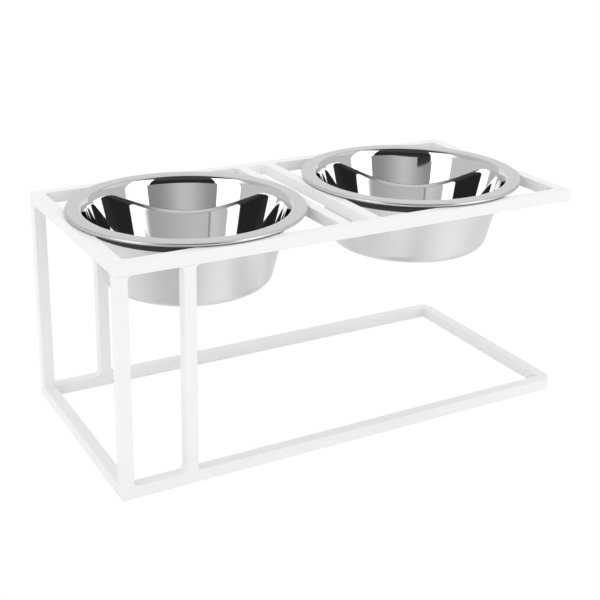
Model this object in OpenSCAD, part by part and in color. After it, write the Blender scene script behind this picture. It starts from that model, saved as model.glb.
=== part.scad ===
// Dog feeder stand: a welded frame of square bar that carries two lift-out bowls.
// Origin on the floor under the middle of the stand. X runs along the stand towards its open
// end, Y to the back, Z up. All sizes are in millimetres.

/* [Bar] */
// side of the square bar, over its coat
bar = 10.5; // [8:0.5:16]
// rounding of the bar's long edges
bar_edge_r = 0.5; // [0.4:0.1:2]
// inside radius of the two bends in the base
bend_inside_r = 2; // [1:0.5:8]
// leg of the weld fillets
weld_leg = 3; // [1.5:0.25:5]

/* [Stand] */
// height of the top of the bars above the floor
stand_h = 203; // [140:1:400]
// clear gap between a left post and the inner post beside it
post_gap = 46.5; // [30:0.5:90]
// clear gap between the two cross bars
cross_gap = 20; // [12:1:60]

/* [Bowl] */
// outside radius of the bowl at the top of the bars
neck_r = 90; // [70:0.5:130]
// lean of the bowl's wall from upright, in degrees
wall_lean = 14; // [8:0.5:25]
// depth of the bowl below the top of the bars
bowl_drop = 65; // [40:1:100]
// outside radius between the wall and the floor of the bowl
floor_corner_r = 11; // [6:0.5:20]
// thickness of the bowl's sheet
sheet = 0.8; // [0.5:0.1:1.4]
// thickness that the sheet loses where the wall is drawn
draw_loss = 0.06; // [0.04:0.02:0.2]
// radius of the flare at the top of the wall
flare_r = 16; // [10:1:40]
// turn of the flare, in degrees
flare_turn = 25; // [10:1:40]
// radius of the bend from the flare into the flange
mouth_bend_r = 2.5; // [2:0.25:4]
// width from the neck to the outside of the rolled edge
flange_w = 15; // [13:0.5:18]
// outside radius of the rolled edge
roll_r = 1.75; // [1.5:0.05:2.6]
// open angle between the end of the roll and the flange, in degrees
roll_gap_angle = 80; // [40:5:120]

/* [Rubber ring] */
// height of the rubber ring around a bowl's neck
ring_h = 5.5; // [2:0.5:10]
// thickness of the rubber ring
ring_t = 3; // [1.5:0.25:4]
// distance from the flare down to the top of the ring
ring_drop = 0.1; // [0.1:0.1:2]

/* [Fits] */
// clearance between a bowl's ring and the bars around its bay
bay_clear = 4; // [2:0.25:6]
// gap between a rolled edge and the bars under it
seat_gap = 0.1; // [0.05:0.05:0.5]
// gap between a ring and the bowl's wall
ring_gap = 0.05; // [0.02:0.01:0.2]

/* [Hidden] */
$fn = 96;

// square bays, and the outside of the frame around them
bay = 2 * (neck_r + ring_t + bay_clear);
frame_w = bay + 2 * bar;
frame_l = 2 * bay + cross_gap + 4 * bar;

// centre lines of the bars and of the posts
rail_y = frame_w / 2 - bar / 2;
rail_x = frame_l / 2 - bar / 2;
cross_x = cross_gap / 2 + bar / 2;
top_z = stand_h - bar;
post_h = stand_h - 2 * bar;
post_left_x = -rail_x;
post_inner_x = post_left_x + bar + post_gap;
bend_outside_r = bend_inside_r + bar;

// weld fillets: straight part of a bar's side, and the hollow in the fillet's face
weld_run = bar - 2 * bar_edge_r;
weld_hollow_r = 1.25 * weld_leg;
weld_hollow_c = 1.3 * weld_leg;

// bowl, with its height counted from the top of the bars
bowl_x = cross_x + bar / 2 + bay / 2;
flange_top = seat_gap + 2 * roll_r;
roll_centre_r = neck_r + flange_w - roll_r;
roll_centre_z = seat_gap + roll_r;
mouth_under_r = mouth_bend_r - sheet;
mouth_z = flange_top - mouth_bend_r;
floor_z = -bowl_drop;
corner_z = floor_z + floor_corner_r;
corner_r = neck_r + corner_z * tan(wall_lean) - floor_corner_r / cos(wall_lean);

// flare: its lean at the top, its centre, and where the wall below it ends outside
flare_under_r = flare_r - sheet;
flare_lean = wall_lean + flare_turn;
flare_z = mouth_z - (flare_r - mouth_bend_r) * sin(flare_lean);
flare_c = neck_r + flare_z * tan(wall_lean) + flare_under_r / cos(wall_lean);
flare_low = flare_z + flare_under_r * sin(wall_lean);
mouth_r = flare_c - (flare_r - mouth_bend_r) * cos(flare_lean);
flare_steps = ceil(flare_turn / 6);
flare_step = flare_turn / flare_steps;

// how far the drawn wall runs into the floor's corner and into the mouth bend
corner_lap = 0.5;
mouth_lap = 0.2;

// top and bottom of a ring, with its height counted from the top of the bars
ring_high = flare_low - ring_drop;
ring_low = ring_high - ring_h;

// section of the bar, from 0 to bar both ways, with rounded edges
module bar_section() {
    far = bar - bar_edge_r;
    translate([bar_edge_r, 0]) square([bar - 2 * bar_edge_r, bar]);
    translate([0, bar_edge_r]) square([bar, bar - 2 * bar_edge_r]);
    for (x = [bar_edge_r, far])
        for (y = [bar_edge_r, far])
            translate([x, y]) circle(bar_edge_r);
}

// bars along X, Y and Z, centred on their own axis and starting at 0
module bar_along_x(run) {
    translate([0, -bar / 2, 0]) rotate([90, 0, 90]) linear_extrude(run) bar_section();
}
module bar_along_y(run) {
    translate([-bar / 2, run, 0]) rotate([90, 0, 0]) linear_extrude(run) bar_section();
}
module bar_along_z(run) {
    translate([-bar / 2, -bar / 2, 0]) linear_extrude(run) bar_section();
}

// block that takes away all on one side of a mitre, from an outside corner of the frame
module mitre_block(x, y, turn, side) {
    translate([x, y, -bar])
        rotate([0, 0, turn])
            translate([-bar, side * bar - bar, 0])
                cube([4 * bar, 2 * bar, 3 * bar]);
}

// front rail with both ends mitred, standing on the floor
module long_rail() {
    difference() {
        translate([-frame_l / 2, -rail_y, 0]) bar_along_x(frame_l);
        mitre_block(-frame_l / 2, -frame_w / 2, 45, 1);
        mitre_block(frame_l / 2, -frame_w / 2, 135, -1);
    }
}

// left rail with both ends mitred, standing on the floor
module short_rail() {
    difference() {
        translate([-rail_x, -frame_w / 2, 0]) bar_along_y(frame_w);
        mitre_block(-frame_l / 2, -frame_w / 2, 45, -1);
        mitre_block(-frame_l / 2, frame_w / 2, -45, 1);
    }
}

// one post, from the base to the top frame
module post(x, y) {
    translate([x, y, bar]) bar_along_z(post_h);
}

// one cross bar between the front and back rails
module cross_bar(x) {
    translate([x, -bay / 2, top_z]) bar_along_y(bay);
}

// weld fillet in the corner between +X and +Y, with a hollow face
module weld_section() {
    difference() {
        polygon([[0, 0], [weld_leg, 0], [0, weld_leg]]);
        translate([weld_hollow_c, weld_hollow_c]) circle(weld_hollow_r);
    }
}

// upright fillet, as long as the flat of a bar
module weld_upright() {
    translate([0, 0, bar_edge_r]) linear_extrude(weld_run) weld_section();
}

// level fillet along Y, in the corner between +X and +Z
module weld_level() {
    translate([0, weld_run / 2, 0]) rotate([90, 0, 0]) linear_extrude(weld_run) weld_section();
}

// fillets of all posts at one height, turned up from the base or down from the top
module post_welds(z, right_turn, left_turn) {
    for (s = [-1, 1]) {
        for (x = [post_left_x, post_inner_x])
            translate([x + bar / 2, s * rail_y, z]) rotate([0, right_turn, 0]) weld_level();
        translate([post_inner_x - bar / 2, s * rail_y, z]) rotate([0, left_turn, 0]) weld_level();
        translate([post_left_x, s * bay / 2, z])
            rotate([0, 0, -90 * s]) rotate([0, right_turn, 0]) weld_level();
    }
}

// part of a ring between two angles less than half a turn apart
module ring_sector(outer_r, inner_r, from, to) {
    reach = 2 * outer_r;
    middle = (from + to) / 2;
    intersection() {
        difference() {
            circle(outer_r);
            circle(inner_r);
        }
        polygon([
            [0, 0],
            [reach * cos(from), reach * sin(from)],
            [reach * cos(middle), reach * sin(middle)],
            [reach * cos(to), reach * sin(to)]
        ]);
    }
}

// rolled edge: a ring of sheet, open between its end and the underside of the flange
module roll_section() {
    reach = 2 * roll_r;
    under = roll_r - sheet;
    difference() {
        circle(roll_r);
        circle(under);
        polygon([
            [0, 0],
            [0, under],
            [-reach, under],
            [reach * cos(90 + roll_gap_angle), reach * sin(90 + roll_gap_angle)]
        ]);
    }
}

// point at a radius and angle around a centre
function around(centre, r, angle) = centre + r * [cos(angle), sin(angle)];

// one side of the drawn wall from the corner to the mouth bend, given its radius around the corner's
// centre and around the flare's centre
function wall_side(at_corner, at_flare) = concat(
    [around(around([corner_r, corner_z], at_corner, -wall_lean), corner_lap, -90 - wall_lean)],
    [for (i = [0 : flare_steps - 1])
        around([flare_c, flare_z], at_flare, 180 - wall_lean - i * flare_step)],
    [around(around([flare_c, flare_z], at_flare, 180 - flare_lean), mouth_lap,
        90 - flare_lean + flare_step / 2)]
);

// drawn wall and flare, a little thinner than the bends at both ends
module wall_section() {
    half_loss = draw_loss / 2;
    outside = wall_side(floor_corner_r - half_loss, flare_under_r + half_loss);
    inside = wall_side(floor_corner_r - sheet + half_loss, flare_r - half_loss);
    last = len(inside) - 1;
    polygon(concat(outside, [for (i = [last : -1 : 0]) inside[i]]));
}

// section of the bowl: floor, corner, leaning wall, flare, mouth bend, flange and rolled edge
module bowl_section() {
    translate([0, floor_z]) square([corner_r, sheet]);
    translate([corner_r, corner_z])
        ring_sector(floor_corner_r, floor_corner_r - sheet, -90, -wall_lean);
    wall_section();
    translate([mouth_r, mouth_z]) ring_sector(mouth_bend_r, mouth_under_r, 90, 180 - flare_lean);
    translate([mouth_r, flange_top - sheet]) square([roll_centre_r - mouth_r, sheet]);
    translate([roll_centre_r, roll_centre_z]) roll_section();
}

// one bowl, hanging in its bay by the rolled edge
module bowl(x) {
    translate([x, 0, stand_h]) rotate_extrude() bowl_section();
}

// inside radius of a ring at a height, beside the leaning wall
function ring_inner_r(z) = neck_r + z * tan(wall_lean) + ring_gap / cos(wall_lean);

// section of a ring, with both sides along the wall
module ring_section() {
    polygon([
        [ring_inner_r(ring_low), ring_low],
        [ring_inner_r(ring_low) + ring_t, ring_low],
        [ring_inner_r(ring_high) + ring_t, ring_high],
        [ring_inner_r(ring_high), ring_high]
    ]);
}

// one rubber ring, stretched around the neck of a bowl
module bowl_ring(x) {
    translate([x, 0, stand_h]) rotate_extrude() ring_section();
}

module top_front_rail() {
    color("white") translate([0, 0, top_z]) long_rail();
}

module top_back_rail() {
    color("white") translate([0, 0, top_z]) rotate([0, 0, 180]) long_rail();
}

module top_left_rail() {
    color("white") translate([0, 0, top_z]) short_rail();
}

module top_right_rail() {
    color("white") translate([0, 0, top_z]) rotate([0, 0, 180]) short_rail();
}

module left_cross_bar() {
    color("white") cross_bar(-cross_x);
}

module right_cross_bar() {
    color("white") cross_bar(cross_x);
}

module front_left_post() {
    color("white") post(post_left_x, -rail_y);
}

module back_left_post() {
    color("white") post(post_left_x, rail_y);
}

module front_inner_post() {
    color("white") post(post_inner_x, -rail_y);
}

module back_inner_post() {
    color("white") post(post_inner_x, rail_y);
}

// front leg, right end and back leg of the base, bent from one bar
module base_bent_rail() {
    leg_run = frame_l - bend_outside_r;
    end_run = frame_w - 2 * bend_outside_r;
    bend_x = frame_l / 2 - bend_outside_r;
    bend_y = frame_w / 2 - bend_outside_r;
    color("white") difference() {
        union() {
            translate([-frame_l / 2, -rail_y, 0]) bar_along_x(leg_run);
            translate([-frame_l / 2, rail_y, 0]) bar_along_x(leg_run);
            translate([rail_x, -end_run / 2, 0]) bar_along_y(end_run);
            translate([bend_x, -bend_y, 0])
                rotate([0, 0, -90]) rotate_extrude(angle = 90) translate([bend_inside_r, 0]) bar_section();
            translate([bend_x, bend_y, 0])
                rotate_extrude(angle = 90) translate([bend_inside_r, 0]) bar_section();
        }
        mitre_block(-frame_l / 2, -frame_w / 2, 45, 1);
        mitre_block(-frame_l / 2, frame_w / 2, -45, -1);
    }
}

module base_left_rail() {
    color("white") short_rail();
}

module top_corner_welds() {
    x = rail_x - bar / 2;
    y = bay / 2;
    color("white") for (c = [[-x, -y, 0], [x, -y, 90], [x, y, 180], [-x, y, 270]])
        translate([c[0], c[1], top_z]) rotate([0, 0, c[2]]) weld_upright();
}

module cross_bar_welds() {
    y = bay / 2;
    color("white") for (x = [-cross_x, cross_x])
        for (c = [[bar / 2, -y, 0], [-bar / 2, -y, 90], [-bar / 2, y, 180], [bar / 2, y, 270]])
            translate([x + c[0], c[1], top_z]) rotate([0, 0, c[2]]) weld_upright();
}

module post_head_welds() {
    color("white") post_welds(top_z, 90, 180);
}

module post_foot_welds() {
    color("white") post_welds(bar, 0, 270);
}

module base_corner_welds() {
    x = rail_x - bar / 2;
    y = bay / 2;
    color("white") for (c = [[-x, -y, 0], [-x, y, 270]])
        translate([c[0], c[1], 0]) rotate([0, 0, c[2]]) weld_upright();
}

module left_bowl() {
    color("silver") bowl(-bowl_x);
}

module right_bowl() {
    color("silver") bowl(bowl_x);
}

module left_bowl_ring() {
    color("black") bowl_ring(-bowl_x);
}

module right_bowl_ring() {
    color("black") bowl_ring(bowl_x);
}

top_front_rail();
top_back_rail();
top_left_rail();
top_right_rail();
left_cross_bar();
right_cross_bar();
front_left_post();
back_left_post();
front_inner_post();
back_inner_post();
base_bent_rail();
base_left_rail();
top_corner_welds();
cross_bar_welds();
post_head_welds();
post_foot_welds();
base_corner_welds();
left_bowl();
right_bowl();
left_bowl_ring();
right_bowl_ring();
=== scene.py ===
"""Dog feeder stand: a welded, white powder-coated bar frame with two lift-out steel bowls."""
import math

import bpy
import numpy as np
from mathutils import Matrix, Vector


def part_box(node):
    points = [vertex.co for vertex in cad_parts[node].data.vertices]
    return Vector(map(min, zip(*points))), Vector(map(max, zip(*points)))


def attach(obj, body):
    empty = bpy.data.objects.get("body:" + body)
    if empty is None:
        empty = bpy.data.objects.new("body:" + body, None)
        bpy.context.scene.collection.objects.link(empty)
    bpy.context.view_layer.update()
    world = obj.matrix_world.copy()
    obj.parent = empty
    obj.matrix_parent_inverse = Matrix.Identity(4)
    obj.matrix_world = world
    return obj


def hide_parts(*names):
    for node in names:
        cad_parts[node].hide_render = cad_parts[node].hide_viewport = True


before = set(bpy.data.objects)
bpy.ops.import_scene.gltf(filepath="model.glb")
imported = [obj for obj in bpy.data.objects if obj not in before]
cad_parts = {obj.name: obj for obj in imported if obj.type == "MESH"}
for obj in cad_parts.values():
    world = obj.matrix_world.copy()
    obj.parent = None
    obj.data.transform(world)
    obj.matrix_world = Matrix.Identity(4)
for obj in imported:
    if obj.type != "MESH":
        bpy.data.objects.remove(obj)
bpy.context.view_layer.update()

MM = 0.001

# pressed bowl, in metres and degrees; its radius, top and bottom come from the frame
SHEET = 0.8 * MM
WALL_LEAN = 14.0
FLOOR_CORNER = 11 * MM
FLARE = 16 * MM
FLARE_TURN = 25.0
MOUTH_BEND = 2.5 * MM
FLANGE = 15 * MM
ROLL = 1.75 * MM
ROLL_GAP = 80.0
BOWL_TURNS = 256
SAME_POINT = 1e-7

# how each stretch of the bowl's section is buffed; below zero, the painted shade that darkens the
# roll's underside and lip
POLISHED = 1.0
ROLL_BUFF = 0.6
MOUTH_END = 0.55
BUFFED = 0.5
SATIN = 0.0
# painted shade beneath the roll, not a buffing
PAINTED_SHADE = -0.5

# rubber ring around a bowl's neck
RING_THICK = 3 * MM
RING_ROUND = 0.7 * MM
RING_TURNS = 192

# camera of the photograph: place in metres, turn in degrees, lens on a 36 mm sensor
CAMERA_PLACE = (-0.4999, -0.8657, 0.5019)
CAMERA_TURN = (71.45, -0.748, -28.615)
CAMERA_LENS = 68.16
CAMERA_SHIFT = (0.03, -0.12)

# studio around the stand, as it shows in the bowls: bearings in degrees from the camera's side,
# positive to the camera's left, and heights above the floor in metres; a panel has the level at
# its edges, the level at its middle, the bearing of that middle, and the spread around it
CAMERA_SIDE = -149.9
STUDIO_RADIUS = 2.2
PANEL_STEPS = 48
STUDIO_PANELS = {
    "right_softbox": (-81.0, -51.0, 0.02, 0.76, 1.7, 1.8, -65.0, 12.0),
    "right_softbox_top": (-81.0, -48.5, 0.76, 2.6, 1.7, 1.8, -65.0, 12.0),
    "left_softbox": (32.3, 61.0, 0.02, 0.72, 1.7, 1.8, 46.0, 12.0),
    "left_softbox_top": (30.5, 61.0, 0.72, 2.6, 1.7, 1.8, 46.0, 12.0),
    "left_softbox_spill": (61.0, 78.0, 1.5, 2.6, 0.50, 1.9, 61.0, 9.0),
    "grey_card": (-51.0, 12.0, 0.0, 0.76, 0.28, 0.60, -5.0, 22.0),
    "grey_card_side": (12.0, 32.3, 0.0, 0.72, 0.28, 0.60, -5.0, 22.0),
    "low_flag": (-48.5, 12.0, 0.76, 1.0, 0.034, 0.034, 0.0, 20.0),
    "low_flag_side": (12.0, 30.5, 0.72, 1.0, 0.034, 0.034, 0.0, 20.0),
    "black_flag": (-48.5, 30.5, 1.0, 1.75, 0.022, 0.022, 0.0, 20.0),
    "high_flag": (-48.5, 30.5, 1.75, 3.4, 0.055, 0.055, 0.0, 20.0),
    "right_wall": (-150.0, -81.0, 0.0, 1.5, 0.58, 0.58, 0.0, 20.0),
    "right_wall_top": (-126.5, -81.0, 1.5, 3.0, 0.68, 0.80, -114.0, 14.0),
    "right_pole": (-132.0, -126.5, 1.5, 3.0, 0.50, 0.38, -129.3, 2.0),
    "left_wall": (61.0, 150.0, 0.0, 1.5, 0.62, 0.62, 0.0, 20.0),
    "left_wall_top": (78.0, 180.0, 1.5, 3.0, 0.50, 0.68, 180.0, 60.0),
}

# floor: half its size, the white that is shown, the share of light that it returns, its levels in
# shiny surfaces far from the bowls and, as a painted pool of light, near them, and the painted
# pools of light and shade that shiny surfaces see in it round each bowl, as bearing and strength
# (a negative strength is painted shade)
FLOOR_REACH = 30.0
FLOOR_WHITE = 1.01
FLOOR_RETURN = 0.98
FLOOR_FAR, FLOOR_NEAR = 0.55, 0.40
FLOOR_PAINTED_POOLS = ((-52.0, 0.34), (75.0, 0.12), (14.0, -0.34))
FLOOR_POOL_POWER = 7.0
BOWL_SIDE = 0.1175

# levels of the room: its sides, what its back adds, its ceiling, the lamp overhead, the even light
ROOM_SIDES, ROOM_BACK = 0.55, 0.33
CEILING_BACK, CEILING_FRONT = 0.58, 0.05
OVERHEAD_LAMP = 0.40
EVEN_LIGHT = 1.085


class Wire:
    """An output socket that can stand in Python sums; each operation adds one Math node."""

    def __init__(self, shop, socket):
        self.shop = shop
        self.socket = socket

    def math(self, operation, *others, clamp=False):
        settings = {"operation": operation, "use_clamp": clamp}
        return self.shop.node("ShaderNodeMath", settings, dict(enumerate((self, *others))))

    def __add__(self, other):
        return self.math("ADD", other)

    def __radd__(self, other):
        return self.math("ADD", other)

    def __sub__(self, other):
        return self.math("SUBTRACT", other)

    def __rsub__(self, other):
        return self.shop.node("ShaderNodeMath", {"operation": "SUBTRACT"}, {0: other, 1: self})

    def __mul__(self, other):
        return self.math("MULTIPLY", other)

    def __rmul__(self, other):
        return self.math("MULTIPLY", other)

    def __truediv__(self, other):
        return self.math("DIVIDE", other)

    def __rtruediv__(self, other):
        return self.shop.node("ShaderNodeMath", {"operation": "DIVIDE"}, {0: other, 1: self})

    def clamped(self):
        return self.math("ADD", 0.0, clamp=True)

    def out(self, name):
        return Wire(self.shop, self.socket.node.outputs[name])


class Finish:
    """The node tree of a material or of the world, with one method that adds any node."""

    def __init__(self, owner):
        owner.use_nodes = True
        self.tree = owner.node_tree
        self.tree.nodes.clear()

    def node(self, kind, settings=None, inputs=None):
        made = self.tree.nodes.new(kind)
        for name, value in (settings or {}).items():
            setattr(made, name, value)
        for key, value in (inputs or {}).items():
            socket = made.inputs[key]
            if isinstance(value, Wire):
                self.tree.links.new(value.socket, socket)
            else:
                socket.default_value = value
        first = next((s for s in made.outputs if s.enabled), None)
        return Wire(self, first) if first else made

    def blend(self, factor, first, second):
        """Colour that goes from the first to the second as the factor goes from 0 to 1."""
        settings = {"data_type": "RGBA", "clamp_factor": True}
        return self.node("ShaderNodeMix", settings, {0: factor, 6: first, 7: second})

    def noise(self, place, scale, detail, rough):
        """Noise of the size 1 / scale in metres, from 0 to 1, around 0.5."""
        inputs = {"Vector": place, "Scale": scale, "Detail": detail, "Roughness": rough}
        return self.node("ShaderNodeTexNoise", {}, inputs)

    def streaks(self, along, scale, detail, rough):
        """Noise of the way along a section alone, so that it runs round the bowl as lines."""
        inputs = {"W": along, "Scale": scale, "Detail": detail, "Roughness": rough}
        return self.node("ShaderNodeTexNoise", {"noise_dimensions": "1D"}, inputs)


def grey(level):
    """Plain grey of a level from 0 to 1, as a colour."""
    return (level, level, level, 1.0)


def new_material(name):
    material = bpy.data.materials.new(name)
    return material, Finish(material)


def powder_coat():
    """White powder coat: fine orange peel, a faint cloud in its colour and a low, uneven sheen."""
    material, f = new_material("white_powder_coat")
    place = f.node("ShaderNodeTexCoord").out("Object")
    peel = f.noise(place, 620.0, 2.0, 0.45)
    grain = f.noise(place, 2600.0, 1.0, 0.5)
    cloud = f.noise(place, 16.0, 3.0, 0.55)
    colour = f.blend(cloud, grey(0.855), grey(0.905))
    height = peel + 0.18 * grain
    bump = f.node("ShaderNodeBump", {}, {"Strength": 0.35, "Distance": 0.05 * MM, "Height": height})
    shader = f.node("ShaderNodeBsdfPrincipled", {}, {
        "Base Color": colour,
        "Roughness": 0.40 + 0.10 * peel + 0.06 * cloud,
        "Normal": bump,
    })
    f.node("ShaderNodeOutputMaterial", {}, {"Surface": shader})
    return material


def bowl_steel():
    """Stainless sheet: mirror-polished in the cavity, buffed on the flange, spun satin outside.

    The attribute buff_and_shade is 1 in the cavity, about 0.5 on the flange and the top of the
    roll, 0 outside and -0.5 beneath the roll, where painted shade darkens the colour to stand
    in for the shadowed crevice between the roll and the bar. The attribute along is the way
    along the section, so that the spinning lines run round the bowl.
    """
    material, f = new_material("stainless_bowl_steel")
    buff_and_shade = f.node("ShaderNodeAttribute", {"attribute_name": "buff_and_shade"}).out("Fac")
    along = f.node("ShaderNodeAttribute", {"attribute_name": "along"}).out("Fac")
    place = f.node("ShaderNodeTexCoord").out("Object")
    polished = (2.0 * buff_and_shade - 1.0).clamped()
    outside = (1.0 - 2.0 * buff_and_shade).clamped()
    # mask of the painted shade beneath the roll
    painted_shade = (-2.0 * buff_and_shade).clamped()
    rim = 1.0 - polished - outside
    lines = f.streaks(along, 2400.0, 3.0, 0.65)
    bands = f.streaks(along, 160.0, 2.0, 0.5)
    smear = f.noise(place, 34.0, 3.0, 0.6)
    dull = 0.62 * lines + 0.12 * bands + 0.26 * smear
    satin = f.blend(dull, grey(0.61), grey(0.74))
    shine = f.blend(smear, grey(0.80), grey(0.84))
    buffed = f.blend(dull, grey(0.70), grey(0.77))
    colour = f.blend(rim, f.blend(polished, satin, shine), buffed)
    # painted shade: beneath the roll the colour goes to dark grey, standing in for the shadow of
    # the crevice where the roll sits on the bar
    colour = f.blend(painted_shade, colour, grey(0.22))
    roughness = (0.025 + 0.012 * smear) * polished + (0.32 + 0.12 * dull) * rim
    roughness = roughness + (0.26 + 0.16 * dull) * outside
    height = lines * (1.0 - 0.97 * polished)
    bump = f.node("ShaderNodeBump", {}, {"Strength": 0.12, "Distance": 0.02 * MM, "Height": height})
    shader = f.node("ShaderNodeBsdfPrincipled", {}, {
        "Base Color": colour,
        "Metallic": 1.0,
        "Roughness": roughness,
        "Normal": bump,
    })
    f.node("ShaderNodeOutputMaterial", {}, {"Surface": shader})
    return material


def ring_rubber():
    """Black rubber: dull, slightly dusty in patches, with a fine moulded grain."""
    material, f = new_material("black_ring_rubber")
    place = f.node("ShaderNodeTexCoord").out("Object")
    dust = f.noise(place, 90.0, 4.0, 0.6)
    grain = f.noise(place, 3000.0, 2.0, 0.5)
    colour = f.blend(dust, grey(0.010), grey(0.024))
    bump = f.node("ShaderNodeBump", {}, {"Strength": 0.3, "Distance": 0.03 * MM, "Height": grain})
    shader = f.node("ShaderNodeBsdfPrincipled", {}, {
        "Base Color": colour,
        "Roughness": 0.55 + 0.2 * dust,
        "Normal": bump,
    })
    f.node("ShaderNodeOutputMaterial", {}, {"Surface": shader})
    return material


def turned(degrees):
    """Unit direction in the section at an angle from the outward level, as cosine and sine."""
    return np.stack([np.cos(np.radians(degrees)), np.sin(np.radians(degrees))])


def arc(centre, radius, start, end, count):
    """Points on a circle in the section, from one angle in degrees to another, both included."""
    return np.array(centre)[:, None] + radius * turned(np.linspace(start, end, count))


def chain(*stretches):
    """Joins stretches of a section and gives each point its buff.

    Each stretch is its points as a 2 x n array and the buff at its two ends; points that repeat
    the one before are left out.
    """
    points = np.concatenate([s[0] for s in stretches], axis=1)
    buff_and_shade = np.concatenate([np.linspace(s[1], s[2], s[0].shape[1]) for s in stretches])
    step = np.hypot(*np.diff(points, axis=1))
    keep = np.concatenate([[True], step > SAME_POINT])
    return points[:, keep], buff_and_shade[keep]


def straight(start, end, count):
    """Points spread evenly on the line between two points of the section."""
    share = np.linspace(0.0, 1.0, count)
    return np.array(start)[:, None] * (1 - share) + np.array(end)[:, None] * share


def bowl_section(rim_r, bar_top, top, bottom):
    """Closed section of the bowl's sheet in radius and height, with its buff.

    It runs from the middle of the cavity's floor up the inside, over the flange, round the roll
    and back down the outside to the middle of the underside. The two faces of the sheet are the
    same lines and arcs, one sheet thickness apart, and every stretch meets the next in a tangent.
    """
    neck = rim_r - FLANGE
    tan_lean = math.tan(math.radians(WALL_LEAN))
    cos_lean = math.cos(math.radians(WALL_LEAN))
    lean_up = WALL_LEAN + FLARE_TURN
    mouth_z = top - MOUTH_BEND
    flare_z = mouth_z - (FLARE - MOUTH_BEND) * math.sin(math.radians(lean_up))
    flare_r = neck + (flare_z - bar_top) * tan_lean + (FLARE - SHEET) / cos_lean
    flare = np.array([flare_r, flare_z])
    mouth = flare + (FLARE - MOUTH_BEND) * turned(180 - lean_up)
    corner = np.array([0.0, bottom + FLOOR_CORNER])
    corner[0] = neck + (corner[1] - bar_top) * tan_lean - FLOOR_CORNER / cos_lean
    roll = np.array([rim_r - ROLL, top - ROLL])
    roll_end = ROLL_GAP + 90.0 - 360.0
    lip = roll + (ROLL - SHEET / 2) * turned(roll_end)
    inside_corner = arc(corner, FLOOR_CORNER - SHEET, -90, -WALL_LEAN, 18)
    inside_flare = arc(flare, FLARE, 180 - WALL_LEAN, 180 - lean_up, 16)
    inside_mouth = arc(mouth, MOUTH_BEND, 180 - lean_up, 90, 14)
    outside_mouth = arc(mouth, MOUTH_BEND - SHEET, 90, 180 - lean_up, 10)
    outside_flare = arc(flare, FLARE - SHEET, 180 - lean_up, 180 - WALL_LEAN, 12)
    outside_corner = arc(corner, FLOOR_CORNER, -WALL_LEAN, -90, 18)
    roll_top = arc(roll, ROLL, 90, -5, 14)
    roll_edge = arc(roll, ROLL, -5, -32, 8)
    roll_under = arc(roll, ROLL, -32, roll_end, 18)
    roll_inside = arc(roll, ROLL - SHEET, roll_end, 90, 28)
    return chain(
        (straight([0.0, bottom + SHEET], inside_corner[:, 0], 10), POLISHED, POLISHED),
        (inside_corner, POLISHED, POLISHED),
        (straight(inside_corner[:, -1], inside_flare[:, 0], 28), POLISHED, POLISHED),
        (inside_flare, POLISHED, POLISHED),
        (inside_mouth, POLISHED, MOUTH_END),
        (straight(inside_mouth[:, -1], roll_top[:, 0], 10), BUFFED, BUFFED),
        (roll_top, ROLL_BUFF, ROLL_BUFF),
        # from the roll's edge round the lip, values below zero paint shade into the colour beneath
        # the roll
        (roll_edge, BUFFED, PAINTED_SHADE),
        (roll_under, PAINTED_SHADE, PAINTED_SHADE),
        (arc(lip, SHEET / 2, roll_end, roll_end - 180, 6), 0.8 * PAINTED_SHADE, 0.6 * PAINTED_SHADE),
        (roll_inside, 0.6 * PAINTED_SHADE, 0.2 * PAINTED_SHADE),
        (straight(roll_inside[:, -1], outside_mouth[:, 0], 8), SATIN, SATIN),
        (outside_mouth, SATIN, SATIN),
        (outside_flare, SATIN, SATIN),
        (straight(outside_flare[:, -1], outside_corner[:, 0], 28), SATIN, SATIN),
        (outside_corner, SATIN, SATIN),
        (straight(outside_corner[:, -1], [0.0, bottom], 10), SATIN, SATIN),
    )


def ring_section(neck, bar_top, top, bottom):
    """Closed section of the rubber ring: a leaning four-sided outline with rounded corners."""
    tan_lean = math.tan(math.radians(WALL_LEAN))
    inner_low = neck + (bottom - bar_top) * tan_lean
    inner_high = neck + (top - bar_top) * tan_lean
    a = RING_ROUND
    return np.concatenate([
        arc([inner_low + RING_THICK - a, bottom + a], a, -90, -WALL_LEAN, 6),
        arc([inner_high + RING_THICK - a, top - a], a, -WALL_LEAN, 90, 7),
        arc([inner_high + a, top - a], a, 90, 180 - WALL_LEAN, 6),
        arc([inner_low + a, bottom + a], a, 180 - WALL_LEAN, 270, 7),
    ], axis=1)


def spun_points(section, centre, turns):
    """Grid of points made by carrying a section round the upright line through centre."""
    angle = np.linspace(0.0, 2 * math.pi, turns, endpoint=False)
    radius, height = section[0][:, None], section[1][:, None]
    x = centre[0] + radius * np.cos(angle)
    y = centre[1] + radius * np.sin(angle)
    return np.stack([x, y, np.broadcast_to(height, x.shape)], axis=-1)


def grid_faces(rows, turns, closed):
    """Four-sided faces between neighbouring rows, closed round the turn.

    If asked, the last row is joined to the first as well, which closes the section.
    """
    row = np.arange(rows if closed else rows - 1)[:, None] * turns
    after = (row + turns) % (rows * turns)
    now = np.arange(turns)[None, :]
    then = (now + 1) % turns
    return np.stack([row + now, after + now, after + then, row + then], axis=-1).reshape(-1, 4)


def put_mesh(name, points, faces, values, material):
    """Smooth mesh object at the origin, with one number per point for each named value."""
    mesh = bpy.data.meshes.new(name)
    mesh.from_pydata(points.tolist(), [], faces)
    for value, numbers in values.items():
        mesh.attributes.new(value, "FLOAT", "POINT").data.foreach_set("value", numbers)
    mesh.polygons.foreach_set("use_smooth", np.ones(len(mesh.polygons), bool))
    mesh.materials.append(material)
    made = bpy.data.objects.new(name, mesh)
    bpy.context.scene.collection.objects.link(made)
    return made


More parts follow.
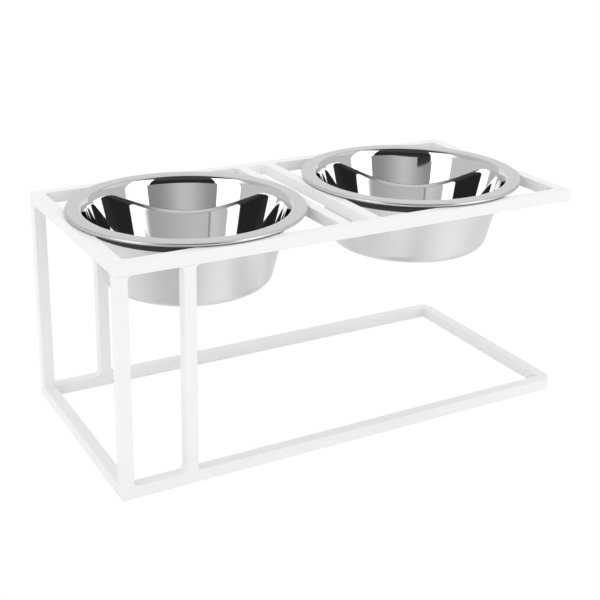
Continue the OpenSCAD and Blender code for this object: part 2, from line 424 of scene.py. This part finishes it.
def spun_bowl(node, material):
    """Bowl spun from its section, whose two ends on the axis are single points with fans."""
    low, high = (np.array(corner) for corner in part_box(node))
    centre = (low + high) / 2
    bar_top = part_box("top_front_rail")[1].z
    section, buff_and_shade = bowl_section((high[0] - low[0]) / 2, bar_top, high[2], low[2])
    along = np.concatenate([[0.0], np.cumsum(np.hypot(*np.diff(section, axis=1)))])
    rows = section.shape[1] - 2
    rings = spun_points(section[:, 1:-1], centre, BOWL_TURNS).reshape(-1, 3)
    poles = spun_points(section[:, [0, -1]], centre, 1).reshape(-1, 3)
    points = np.concatenate([rings, poles])
    first, last = len(rings), len(rings) + 1
    now = np.arange(BOWL_TURNS)
    then = (now + 1) % BOWL_TURNS
    end_row = (rows - 1) * BOWL_TURNS
    start_fan = np.stack([np.full_like(now, first), now, then], axis=-1)
    end_fan = np.stack([end_row + now, np.full_like(now, last), end_row + then], axis=-1)
    faces = grid_faces(rows, BOWL_TURNS, False).tolist() + start_fan.tolist() + end_fan.tolist()
    values = {
        name: np.concatenate([np.repeat(v[1:-1], BOWL_TURNS), v[[0, -1]]]).astype(np.float32)
        for name, v in (("buff_and_shade", buff_and_shade), ("along", along))
    }
    return put_mesh(node + "_spun", points, faces, values, material)


def spun_ring(node, bowl_node, material):
    """Rubber ring spun from its closed section."""
    low, high = (np.array(corner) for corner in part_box(node))
    rim_low, rim_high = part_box(bowl_node)
    neck = (rim_high.x - rim_low.x) / 2 - FLANGE
    section = ring_section(neck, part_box("top_front_rail")[1].z, high[2], low[2])
    points = spun_points(section, (low + high) / 2, RING_TURNS)
    faces = grid_faces(section.shape[1], RING_TURNS, True)[:, ::-1]
    return put_mesh(node + "_moulded", points.reshape(-1, 3), faces.tolist(), {}, material)


def studio_glow():
    """Plain light of the level that a panel's points carry."""
    material, f = new_material("studio_glow")
    level = f.node("ShaderNodeAttribute", {"attribute_name": "level"}).out("Fac")
    light = f.node("ShaderNodeEmission", {}, {"Color": level, "Strength": 1.0})
    f.node("ShaderNodeOutputMaterial", {}, {"Surface": light})
    return material


def studio_panel(name, glow, start, end, low, high, edge, peak, middle, spread):
    """Part of an upright drum around the stand, between two bearings and two heights.

    Its level rises from the edge value to the peak as a bell curve of the bearing. Only polished
    and satin surfaces see it; it lights nothing and hides nothing.
    """
    bearing = np.linspace(start, end, PANEL_STEPS + 1)
    level = edge + (peak - edge) * np.exp(-((bearing - middle) / spread) ** 2)
    way = np.radians(CAMERA_SIDE + bearing)
    around = STUDIO_RADIUS * np.stack([np.sin(way), np.cos(way)], axis=-1)
    points = np.concatenate([np.insert(around, 2, z, axis=1) for z in (low, high)])
    now = np.arange(PANEL_STEPS)
    above = now + PANEL_STEPS + 1
    faces = np.stack([now, now + 1, above + 1, above], axis=-1).tolist()
    values = {"level": np.tile(level, 2).astype(np.float32)}
    panel = put_mesh(name, points, faces, values, glow)
    panel.visible_camera = False
    panel.visible_diffuse = False
    panel.visible_shadow = False
    panel.visible_transmission = False


def white_floor():
    """Wide white floor: shown white with a trace of the stand's shadow.

    Shiny surfaces see painted light in it: a glow that fades with the distance from the bowls,
    and painted pools of light and shade round each bowl that stand in for the softboxes and
    the bowls' shadows.
    """
    material, f = new_material("white_floor")
    path = f.node("ShaderNodeLightPath")
    camera = path.out("Is Camera Ray").math("MAXIMUM", path.out("Is Transmission Ray"))
    glossy = path.out("Is Glossy Ray")
    place = f.node("ShaderNodeTexCoord").out("Object")
    split = f.node("ShaderNodeSeparateXYZ", {}, {0: place})
    x, y = split.out("X"), split.out("Y")
    from_bowl = x - BOWL_SIDE * x.math("SIGN")
    reach = (from_bowl * from_bowl + y * y).math("SQRT").math("MAXIMUM", 0.01)
    # painted pools of light and shade round each bowl, in the floor's glow that shiny surfaces see
    painted_pools = 0.0
    for bearing, strength in FLOOR_PAINTED_POOLS:
        way = math.radians(CAMERA_SIDE + bearing)
        towards = ((math.sin(way) * from_bowl + math.cos(way) * y) / reach).clamped()
        painted_pools = painted_pools + strength * towards.math("POWER", FLOOR_POOL_POWER)
    # painted pool of light near the bowls, fading with the distance from them
    near = (1.6 - 1.7 * reach).clamped()
    mirrored = (FLOOR_FAR + FLOOR_NEAR * near) + painted_pools
    level = FLOOR_WHITE * camera + (1.0 - camera) * mirrored
    card = f.node("ShaderNodeBsdfDiffuse", {}, {"Color": grey(FLOOR_RETURN)})
    glow = f.node("ShaderNodeEmission", {}, {"Color": level, "Strength": 1.0})
    factor = 0.94 * camera + 0.70 * glossy
    shader = f.node("ShaderNodeMixShader", {}, {0: factor, 1: card, 2: glow})
    f.node("ShaderNodeOutputMaterial", {}, {"Surface": shader})
    r = FLOOR_REACH
    corners = np.array([[-r, -r, 0.0], [r, -r, 0.0], [r, r, 0.0], [-r, r, 0.0]])
    put_mesh("white_floor", corners, [[0, 1, 2, 3]], {}, material)


def studio_air():
    """World: white for the camera, an even soft light, and a room that shiny surfaces see.

    The room is light behind the stand, its ceiling darkens towards the camera, and a lamp hangs
    overhead.
    """
    world = bpy.data.worlds.new("white_studio")
    bpy.context.scene.world = world
    f = Finish(world)
    path = f.node("ShaderNodeLightPath")
    camera = path.out("Is Camera Ray")
    glossy = path.out("Is Glossy Ray")
    way = f.node("ShaderNodeSeparateXYZ", {}, {0: f.node("ShaderNodeTexCoord").out("Generated")})
    along, back, up = way.out("X"), way.out("Y"), way.out("Z")
    side = math.radians(CAMERA_SIDE)
    behind = -math.sin(side) * along - math.cos(side) * back
    room = ROOM_SIDES + ROOM_BACK * behind.math("MAXIMUM", 0.0)
    ceiling = (2.0 * behind + 0.9).clamped() * CEILING_BACK + CEILING_FRONT
    high = (2.2 * up - 0.75).clamped()
    overhead = (5.0 * up - 4.2).clamped()
    room = room + high * (ceiling - room) + OVERHEAD_LAMP * overhead
    soft = EVEN_LIGHT - 0.04 * along - 0.06 * up * up
    level = camera + (1.0 - camera) * (glossy * room + (1.0 - glossy) * soft)
    sky = f.node("ShaderNodeBackground", {}, {"Color": level, "Strength": 1.0})
    f.node("ShaderNodeOutputWorld", {}, {"Surface": sky})


def photograph_camera():
    """Camera at the photograph's place, with the small shift that its framing needs."""
    data = bpy.data.cameras.new("camera")
    data.sensor_width = 36.0
    data.lens = CAMERA_LENS
    data.shift_x, data.shift_y = CAMERA_SHIFT
    made = bpy.data.objects.new("camera", data)
    made.location = CAMERA_PLACE
    made.rotation_euler = [math.radians(angle) for angle in CAMERA_TURN]
    bpy.context.scene.collection.objects.link(made)
    bpy.context.scene.camera = made


photograph_camera()

coat = powder_coat()
steel = bowl_steel()
rubber = ring_rubber()

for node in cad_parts.values():
    for used in node.material_slots:
        used.material = coat

for bowl in ("left_bowl", "right_bowl"):
    spun = spun_bowl(bowl, steel)
    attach(spun, bowl)
    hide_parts(bowl)
    ring = bowl + "_ring"
    moulded = spun_ring(ring, bowl, rubber)
    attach(moulded, bowl)
    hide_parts(ring)

white_floor()
glow = studio_glow()
for panel, sizes in STUDIO_PANELS.items():
    studio_panel(panel, glow, *sizes)
studio_air()
bpy.context.scene.view_settings.view_transform = "Standard"
